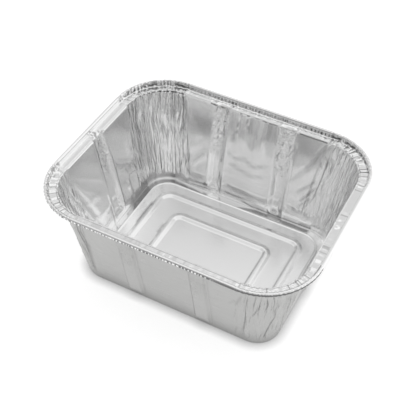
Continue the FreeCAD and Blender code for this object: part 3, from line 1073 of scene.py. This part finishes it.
    def marks(self) -> dict[str, np.ndarray]:
        """Give a net of numbers from 0 to 1 for each kind of mark that the materials show; the gap mark is
        shade painted into the colour.
        """
        corner, back = self.corner, self.straight_on(Side.BACK)
        outer_half = smooth((self.reach - 25.3) / 0.8)
        on_flange = 0.04 + 0.25 * back * outer_half + 0.1 * corner + 0.16 * self.outline.on(Side.LEFT)
        crushed = self.wall * self.pressing.near_rib() * window(self.height, 36.0, 60.0, 16.0) * 0.8
        crushed = np.maximum(crushed, self.riser * (0.04 + 0.96 * back + 0.8 * corner))
        crushed = np.maximum(crushed, self.flange * on_flange)
        crushed = np.maximum(crushed, self.roll * (0.06 * back + 0.3 * corner))
        gathered = corner * (self.pleated * 0.8 + 0.3 * (self.riser + self.roll))
        satin = np.broadcast_to(smooth((self.down - 61.0) / 3.0)[:, None], self.move.shape)
        return {"gathered": gathered, "crushed": crushed, "gap": self.gap, "satin": satin}


# --------------------------------------------------------------------------------------------------- finish


class FoilFace(enum.Enum):
    """The two faces of foil rolled two sheets at a time: name, colour and blur of the reflections."""

    BRIGHT = ("bright_aluminium_foil", "#F6F6F6", 0.125)
    # The matt face is duller than the bright one, and its colour is also darker than the foil's own: painted
    # shade for the pan's outside.
    MATT = ("matt_aluminium_foil", "#BBBBBA", 0.34)


@dataclass(frozen=True)
class RolledFoil:
    """Aluminium foil, cold rolled and pressed: bright metal, its mirror blurred along the rolling lines.

    The eye sees soft reflections broken up by creases, with a faint grain. The face that lay against another
    sheet in the last pass is matt, and it is the outside of the pan.

    Attributes:
        face: which face of the foil.
        line_spacing, line_depth: distance between rolling lines, and how deep they are. Real ones are 0.02 mm
            apart, too fine to show, so they are drawn coarser.
        satin_blur: how much more the floor blurs reflections than the walls do.
        crease_spacing, crease_length, crease_depth: the size of the small facets in gathered foil.
        crush_size, crush_depth: width and depth of the facets in crushed foil.
        painted_shade_colour, painted_shade_share: colour of the shade painted into folds and other dark
        places, and how much of it there is.
    """

    face: FoilFace
    line_spacing: float = 0.5
    line_depth: float = 0.02
    satin_blur: float = 0.08
    crease_spacing: float = 2.4
    crease_length: float = 14.0
    crease_depth: float = 0.55
    crush_size: float = 1.3
    crush_depth: float = 0.5
    painted_shade_colour: str = "#1C1C1C"
    painted_shade_share: float = 0.85

    def build(self) -> bpy.types.Material:
        """Make the material."""
        name, colour, roughness = self.face.value
        material = bpy.data.materials.new(name)
        tree = empty_tree(material)
        satin, gathered, crushed, gap = (add(tree, "Attribute", attribute_name=kind).outputs["Fac"]
                                         for kind in ("satin", "gathered", "crushed", "gap"))
        place = add(tree, "TexCoord").outputs["Object"]
        lines = add(tree, "Mapping", {"Vector": place, "Scale": (0.06, 1.0, 1.0)})
        grain = add(tree, "TexNoise", {"Vector": lines, "Scale": 1 / (self.line_spacing * MM),
                                       "Detail": 2.0, "Roughness": 0.6})
        lined = add(tree, "Bump", {"Height": grain, "Strength": 0.10, "Distance": self.line_depth * MM})
        blur = add(tree, "MapRange", {"Value": grain, "From Min": 0.3, "From Max": 0.7,
                                      "To Min": roughness * 0.8, "To Max": roughness * 1.25})
        # The press leaves the floor a little less of a mirror than the walls.
        blur = add(tree, "Math", {0: satin, 1: self.satin_blur, 2: blur}, operation="MULTIPLY_ADD")

        sheet = add(tree, "UVMap", uv_map=SHEET_MAP)
        scale = (MAP_SIZE / self.crease_spacing, MAP_SIZE / self.crease_length, 1.0)
        strips = add(tree, "Mapping", {"Vector": sheet, "Scale": scale})
        sway = add(tree, "TexNoise", {"Vector": strips, "Scale": 1.1, "Detail": 1.0}).outputs["Color"]
        swung = add(tree, "VectorMath", {0: sway, 1: (1.3, 0.5, 0.0), 2: strips}, operation="MULTIPLY_ADD")
        facets = add(tree, "TexVoronoi", {"Vector": swung, "Scale": 1.0}, feature="DISTANCE_TO_EDGE",
                     voronoi_dimensions="2D")
        creased = add(tree, "Bump", {"Height": facets, "Strength": gathered,
                                     "Distance": self.crease_depth * MM, "Normal": lined})
        lumps = add(tree, "TexVoronoi", {"Vector": place, "Scale": 1 / (self.crush_size * MM)},
                    feature="DISTANCE_TO_EDGE")
        dented = add(tree, "Bump", {"Height": lumps, "Strength": crushed,
                                    "Distance": self.crush_depth * MM, "Normal": creased})
        # Shade is painted into the colour where the gap mark says: the shadow of tight folds too narrow to
        # model, under the roll and in dark places of the floor.
        shade = add(tree, "Math", {0: gap, 1: self.painted_shade_share}, operation="MULTIPLY")
        skin = add(tree, "Mix", {0: shade, 6: linear(colour), 7: linear(self.painted_shade_colour)}, data_type="RGBA")
        metal = add(tree, "BsdfPrincipled", {"Base Color": skin.outputs[2], "Metallic": 1.0,
                                             "Roughness": blur, "Normal": dented})
        add(tree, "OutputMaterial", {"Surface": metal})
        return material


@dataclass(frozen=True)
class MattBoard:
    """Matt white coated board under the pan. It shows the soft shadow and nothing else.

    Attributes:
        name: the material's name.
        colour: the coating.
        glow: light it adds for the eye and for mirrors, so that clear board reads as white.
        contact: how far from the pan that light dies away.
    """

    name: str = "matt_white_board"
    colour: str = "#BDBDBD"
    glow: float = 0.765
    contact: float = 5.8

    def build(self) -> bpy.types.Material:
        """Make the material."""
        material = bpy.data.materials.new(self.name)
        tree = empty_tree(material)
        ray = add(tree, "LightPath").outputs
        seen = add(tree, "Math", {0: ray["Is Camera Ray"], 1: ray["Is Glossy Ray"]}, operation="MAXIMUM")
        near = add(tree, "AmbientOcclusion", {"Distance": self.contact * MM}, samples=8).outputs["AO"]
        share = add(tree, "Math", {0: near, 1: self.glow}, operation="MULTIPLY")
        glow = add(tree, "Math", {0: seen, 1: share}, operation="MULTIPLY")
        coat = add(tree, "BsdfDiffuse", {"Color": linear(self.colour)})
        light = add(tree, "Emission", {"Color": (1, 1, 1, 1), "Strength": glow})
        add(tree, "OutputMaterial", {"Surface": add(tree, "AddShader", {0: coat, 1: light})})
        return material


# ------------------------------------------------------------------------------------------------ the pieces


@dataclass
class FoilPan:
    """The pan, in four meshes that meet on its bends and stand for one sheet of foil.

    Attributes:
        outline: the points round the pan.
        section: the foil cut across.
        pressing: what the press leaves at single places.
        pieces: the meshes, once they are built.
    """

    outline: Outline
    section: Section
    pressing: Pressing
    pieces: list[bpy.types.Object] = field(default_factory=list)

    def build(self) -> list[bpy.types.Object]:
        """Make the four meshes, dress them and let them ride."""
        faces = [RolledFoil(face).build() for face in FoilFace]
        rim = self.section.trace(self.section.rim_turns())
        wall = self.section.trace(self.section.wall_turns())
        floor = self.section.trace(self.section.floor_turns())
        whole = np.concatenate([rim, wall[1:], floor[1:]])
        down, normal = self.measure(whole)
        mouth = len(rim) - 1
        down = down - down[mouth]
        pressed = PressedFoil(self.pressing, whole, down)
        all_marks = pressed.marks()
        foot = int(np.argmin(whole[:, 3]))
        between_beads = foot + int(np.argmax(whole[foot:, 0] < (OUTER_BEAD[0] + INNER_BEAD[0]) / 2))
        names = ("rolled_rim", "ribbed_walls", "platform_edge", "platform_middle")
        ends = (0, mouth, foot, between_beads, len(whole) - 1)
        for name, first, last in zip(names, ends, ends[1:]):
            part = slice(first, last + 1)
            marks = {kind: mark[part] for kind, mark in all_marks.items()}
            piece = self.press(name, whole[part], normal[part], pressed.move[part], down[part], marks)
            for face in faces:
                piece.data.materials.append(face)
            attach(piece, BODY)
            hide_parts(NODE)
            self.pieces.append(piece)
        return self.pieces

    @staticmethod
    def measure(rows: np.ndarray) -> tuple[np.ndarray, np.ndarray]:
        """Measure along the section and find its normal.

        Args:
            rows: the section's points.

        Returns:
            The distance of each point from the first, and its normal as outward and upward parts.
        """
        out = (rows[:, 0] + rows[:, 1]) / 2 + rows[:, 2]
        up = rows[:, 3]
        down = np.concatenate([[0.0], np.cumsum(np.hypot(np.diff(out), np.diff(up)))])
        slope_out = np.gradient(out, down)
        slope_up = np.gradient(up, down)
        size = np.hypot(slope_out, slope_up)
        return down, np.stack([slope_up / size, -slope_out / size], axis=1)

    def press(self, name: str, rows: np.ndarray, normal: np.ndarray, move: np.ndarray, down: np.ndarray,
              marks: dict[str, np.ndarray]) -> bpy.types.Object:
        """Draw a flat blank into one part of the pan and give it the foil's thickness.

        Args:
            name: the piece's name.
            rows: that part of the section.
            normal: the section's normal at each row.
            move: how far each point moves along it.
            down: distance of each row along the section.
            marks: how crumpled the foil is at each point, and how much shade is painted on it, by kind.

        Returns:
            The finished piece.
        """
        outline = self.outline
        blank = bmesh.new()
        bmesh.ops.create_grid(blank, x_segments=outline.count, y_segments=len(rows) - 1, size=1.0)
        order = np.concatenate([np.arange(outline.count), [0]])
        reach = rows[:, 2][:, None] + move * normal[:, 0][:, None]
        # Nothing hangs below the foil that the pan stands on.
        height = np.maximum(rows[:, 3][:, None] + move * normal[:, 1][:, None], self.section.gauge / 2)
        x = rows[:, 0][:, None] * outline.across + reach * outline.out_x
        y = rows[:, 1][:, None] * outline.up + reach * outline.out_y
        places = np.stack([x, y, height], axis=-1)[:, order].reshape(-1, 3) * MM
        run = np.concatenate([outline.run, [outline.length]])
        sheet = np.stack(np.broadcast_arrays(run[None, :], down[:, None]), axis=-1).reshape(-1, 2) / MAP_SIZE
        layers = [(blank.verts.layers.float.new(kind), mark[:, order].reshape(-1))
                  for kind, mark in marks.items()]
        for index, (vertex, place) in enumerate(zip(blank.verts, places)):
            vertex.co = place
            for layer, mark in layers:
                vertex[layer] = mark[index]
        flat = blank.loops.layers.uv.new(SHEET_MAP)
        for face in blank.faces:
            for loop in face.loops:
                loop[flat].uv = sheet[loop.vert.index]
        bmesh.ops.remove_doubles(blank, verts=blank.verts, dist=SAME_PLACE)
        bmesh.ops.dissolve_degenerate(blank, edges=blank.edges, dist=NO_LENGTH)
        bmesh.ops.recalc_face_normals(blank, faces=blank.faces)
        if self.faces_down(blank):
            bmesh.ops.reverse_faces(blank, faces=blank.faces)
        for face in blank.faces:
            face.smooth = True
        mesh = bpy.data.meshes.new(name)
        blank.to_mesh(mesh)
        blank.free()
        piece = bpy.data.objects.new(name, mesh)
        bpy.context.scene.collection.objects.link(piece)
        gauge = piece.modifiers.new("gauge", "SOLIDIFY")
        gauge.thickness = self.section.gauge * MM
        gauge.offset = 0.0
        # The floor's meshes meet on flat foil, where a closed edge would show as a line.
        gauge.use_rim = not name.startswith("platform")
        gauge.material_offset = 1
        gauge.material_offset_rim = 1
        return piece

    @staticmethod
    def faces_down(sheet: bmesh.types.BMesh) -> bool:
        """Say whether a sheet is turned the wrong way.

        Args:
            sheet: part of the pan, before it gets its thickness.

        Returns:
            Whether its faces point down and outwards rather than into the pan.
        """
        aim = Vector((0, 0, 0.05))
        inward = sum(f.normal.dot(aim - f.calc_center_median()) * f.calc_area() for f in sheet.faces)
        return inward < 0


# Bearing in degrees and grey of each stop of a band of the room.
Greys = tuple[tuple[float, float], ...]


@dataclass
class Studio:
    """The board under the pan, the soft light round it and the camera.

    Attributes:
        azimuth, elevation: where the camera stands, in degrees.
        distance: from the camera to its target.
        target: what the camera is aimed at, on the table.
        roll: the camera's lean, in degrees.
        focal: focal length for a 36 mm frame.
        skirting, panels, ceiling: brightness of the room round the pan, from the floor up: bearing in degrees
            from the pan's right, and grey.
        zenith: brightness straight above.
        panels_from, ceiling_from, zenith_from: sines of the elevations between which each of them begins.
        board_half: half the board's width, in metres.
    """

    azimuth: float = 27.0
    elevation: float = 46.18
    distance: float = 497.1
    target: tuple[float, float, float] = (-16.67, 31.12, 0.0)
    roll: float = 1.0
    focal: float = 72.59
    skirting: Greys = (
        (-180, 0.6), (-160, 0.6), (-140, 0.3), (-112, 0.36), (-60, 0.36), (-42, 0.5), (-25, 0.9),
        (30, 1.1), (62, 1.1), (76, 0.75), (92, 0.75), (116, 0.75), (130, 0.8), (160, 0.8))
    panels: Greys = (
        (-180, 0.65), (-172, 0.62), (-164, 0.25), (-152, 0.62), (-128, 0.6), (-113, 0.2), (-96, 0.3),
        (-78, 0.55), (-34, 0.62), (-6, 0.75), (4, 0.4), (15, 0.95), (48, 0.92), (60, 1.0), (75, 0.98),
        (92, 0.7), (136, 0.7), (150, 0.62), (158, 0.22), (168, 0.65))
    ceiling: Greys = (
        (-180, 0.66), (-120, 0.66), (-90, 0.7), (-20, 0.7), (20, 0.85), (60, 1.0), (150, 1.0))
    zenith: float = 0.88
    panels_from: tuple[float, float] = (0.48, 0.60)
    ceiling_from: tuple[float, float] = (0.755, 0.825)
    zenith_from: tuple[float, float] = (0.91, 0.97)
    board_half: float = 3.0

    def board(self) -> bpy.types.Object:
        """Lay the board that the pan stands on."""
        sheet = bmesh.new()
        bmesh.ops.create_grid(sheet, x_segments=1, y_segments=1, size=self.board_half)
        mesh = bpy.data.meshes.new("board")
        sheet.to_mesh(mesh)
        sheet.free()
        board = bpy.data.objects.new("board", mesh)
        board.data.materials.append(MattBoard().build())
        bpy.context.scene.collection.objects.link(board)
        return board

    def surroundings(self) -> None:
        """Light the pan from a pale room: white panels with darker gaps between them, and a white ceiling."""
        world = bpy.data.worlds.new("pale_room")
        bpy.context.scene.world = world
        tree = empty_tree(world)
        way = add(tree, "SeparateXYZ", {0: add(tree, "TexCoord").outputs["Generated"]}).outputs
        bearing = add(tree, "Math", {0: way["Y"], 1: way["X"]}, operation="ARCTAN2")
        round_room = add(tree, "MapRange", {"Value": bearing, "From Min": -math.pi, "From Max": math.pi})
        shade = self.band(tree, round_room, self.skirting)
        for stops, change in ((self.panels, self.panels_from), (self.ceiling, self.ceiling_from)):
            shade = self.above(tree, way["Z"], change, shade, self.band(tree, round_room, stops))
        overhead = (self.zenith, self.zenith, self.zenith, 1)
        shade = self.above(tree, way["Z"], self.zenith_from, shade, overhead)
        ray = add(tree, "LightPath").outputs
        shade = add(tree, "Mix", {0: ray["Is Camera Ray"], 6: shade, 7: (1, 1, 1, 1)}, data_type="RGBA")
        white = add(tree, "Background", {"Color": shade.outputs[2], "Strength": 1.0})
        add(tree, "OutputWorld", {"Surface": white})

    @staticmethod
    def above(tree: bpy.types.NodeTree, rise: bpy.types.NodeSocket, change: tuple[float, float],
              lower: bpy.types.NodeSocket, upper: bpy.types.NodeSocket | tuple) -> bpy.types.NodeSocket:
        """Change one brightness for another between two heights in the room.

        Args:
            tree: the room's node tree.
            rise: the upward part of the direction.
            change: sines of the elevations between which the change is made.
            lower, upper: the brightness below and above.

        Returns:
            The brightness of both.
        """
        part = add(tree, "MapRange", {"Value": rise, "From Min": change[0], "From Max": change[1]},
                   interpolation_type="SMOOTHSTEP")
        return add(tree, "Mix", {0: part, 6: lower, 7: upper}, data_type="RGBA").outputs[2]

    @staticmethod
    def band(tree: bpy.types.NodeTree, round_room: bpy.types.Node, stops: Greys) -> bpy.types.NodeSocket:
        """Make one band of the room.

        Args:
            tree: the room's node tree.
            round_room: the node that gives the bearing, from 0 to 1 for -180 to 180 degrees.
            stops: bearing in degrees and grey of each stop.

        Returns:
            The band's brightness.
        """
        node = add(tree, "ValToRGB", {"Fac": round_room})
        ramp = node.color_ramp
        while len(ramp.elements) > 1:
            ramp.elements.remove(ramp.elements[-1])
        for number, (degrees, grey) in enumerate(stops):
            place = degrees / 360 + 0.5
            element = ramp.elements[0] if number == 0 else ramp.elements.new(place)
            element.position = place
            element.color = (grey, grey, grey, 1.0)
        return node.outputs["Color"]

    def camera(self) -> None:
        """Stand the camera where it sees the pan from above its right front corner."""
        round_pan, up = math.radians(self.azimuth), math.radians(self.elevation)
        back = Vector((math.sin(round_pan) * math.cos(up), -math.cos(round_pan) * math.cos(up), math.sin(up)))
        right = Vector((math.cos(round_pan), math.sin(round_pan), 0.0))
        upright = back.cross(right)
        turn = math.radians(self.roll)
        leaned_right = right * math.cos(turn) + upright * math.sin(turn)
        leaned_up = upright * math.cos(turn) - right * math.sin(turn)
        lens = bpy.data.cameras.new("camera")
        lens.lens = self.focal
        lens.clip_start = 0.01
        lens.clip_end = 20.0
        camera = bpy.data.objects.new("camera", lens)
        axes = Matrix((leaned_right, leaned_up, back)).transposed().to_4x4()
        place = (Vector(self.target) + back * self.distance) * MM
        camera.matrix_world = Matrix.Translation(place) @ axes
        bpy.context.scene.collection.objects.link(camera)
        bpy.context.scene.camera = camera

    def build(self) -> None:
        """Set the whole studio up."""
        self.board()
        self.surroundings()
        self.camera()
        bpy.context.scene.view_settings.view_transform = "Standard"


# The creases that run into the corners, the waves of the back wall, and the soft folds of the front and
# left-hand walls.
KINKS = (
    Kink(Side.BACK, ((44, 57), (38, 45), (27, 30)), 1.5, 0.2, True, 0.25),
    Kink(Side.BACK, ((41.5, 54), (37, 46), (33, 40)), 1.3, 0.2, True, 0.25),
    Kink(Side.BACK, ((39, 43), (30, 32), (24, 26)), 1.5, 0.14, True, 0.2),
    Kink(Side.BACK, ((41, 33), (35, 26), (31, 22)), 1.4, 0.26, True, 0.4),
    Kink(Side.BACK, ((42, 29), (37, 21), (34, 17)), 1.2, 0.28, True, 0.5),
    Kink(Side.BACK, ((43.5, 27), (40, 18), (36, 12)), 0.6, 0.28),
    Kink(Side.BACK, ((40, 21), (33, 12)), 1.3, 0.2, True, 0.35),
    Kink(Side.BACK, ((46, 52), (44, 36), (41, 20)), 0.7, 0.3, shade=0.8),
    Kink(Side.BACK, ((-13, 32), (-8, 29.5), (-3, 31), (3, 28), (13, 32)), 1.9, 0.2, True, 0.3),
    Kink(Side.BACK, ((-13, 25.5), (-5, 23), (3, 21.5), (12.5, 24.5)), 1.9, 0.18, True, 0.25),
    Kink(Side.BACK, ((-15, 12), (-9, 8), (0, 6.8), (8, 4.8), (15, 6)), 1.9, 0.14, True, 0.25),
    Kink(Side.BACK, ((26, 12), (31, 9.5), (38, 10)), 1.8, 0.22, True, 0.3),
    Kink(Side.BACK, ((-40, 9), (-33, 6.5), (-27, 8)), 1.9, 0.25, True, 0.3),
    Kink(Side.FRONT, ((-49, 56), (-47.5, 40), (-45, 22)), 0.9, 0.3, shade=0.8),
    Kink(Side.FRONT, ((-52, 30), (-47, 14)), 0.8, 0.3, shade=0.8),
    Kink(Side.FRONT, ((-47, 50), (-34, 28)), 2.2, 0.14, True, 0.0),
    Kink(Side.FRONT, ((-40, 52), (-29, 34)), 1.6, 0.10, True, 0.0),
    Kink(Side.FRONT, ((44, 46), (40, 34)), 1.4, 0.2, shade=0.3),
    Kink(Side.FRONT, ((41, 40), (36, 33)), 1.2, 0.16, shade=0.2),
    Kink(Side.FRONT, ((65, 30), (61.5, 18), (60, 6)), 0.8, 0.5, shade=1.0),
    Kink(Side.FRONT, ((55, 42), (50, 30)), 0.8, 0.4, shade=0.7),
    Kink(Side.BACK, ((16, 40), (31, 35), (38, 41), (53, 47)), 18.0, -0.5, True, 0.0),
    Kink(Side.BACK, ((26.3, 52), (26, 25), (25.7, 3)), 1.1, -0.4, True, 0.0),
    Kink(Side.FRONT, ((-50, 50), (-47.5, 37), (-45, 33), (-46, 20), (-46.5, 5)), 2.2, 0.5, True, 0.5),
    Kink(Side.LEFT, ((-31, 50), (-22, 28), (-15, 6)), 3.2, 0.3, True, 0.0),
    Kink(Side.LEFT, ((-38, 50), (-31, 30), (-23, 5)), 2.6, 0.4, True, 0.0),
    Kink(Side.LEFT, ((-36, 55), (-31, 40), (-27, 30), (-19, 4)), 0.8, 0.3, shade=0.35),
    Kink(Side.LEFT, ((-5.8, 15), (-5.9, 8), (-6.1, 0.5)), 0.9, 0.3, shade=0.8),
    Kink(Side.LEFT, ((5.8, 47), (5.4, 20), (5, 4)), 1.5, -0.5, True, 0.0),
)

# Where shade is painted along the back wall's bend at the mouth.
SHADED_MOUTH = (
    (27, 43, 0.8), (-27.5, -24, 0.8), (8.5, 13.5, 0.6), (4.5, 7, 0.6), (0.5, 2.5, 0.5), (-5, -3.6, 0.6),
    (-9, -8, 0.6), (-48, -45, 0.7), (-52.5, -49.5, 0.7), (-57, -54, 0.7), (-60.5, -58.5, 0.7),
    (-63.5, -62, 0.6), (-66, -65, 0.6), (-69, -68.3, 0.6), (-71.6, -71, 0.6), (-74.2, -73.4, 0.6),
)


def main() -> None:
    """Build the studio and the pan."""
    logging.basicConfig(level=logging.INFO, format="%(message)s", stream=sys.stdout)
    Studio().build()
    outline = Outline()
    section = Section(outline)
    pan = FoilPan(outline, section, Pressing(outline, section, kinks=KINKS, pressed=SHADED_MOUTH))
    for piece in pan.build():
        LOG.info("%s: %d faces", piece.name, len(piece.data.polygons))


if __name__ == "__main__":
    main()
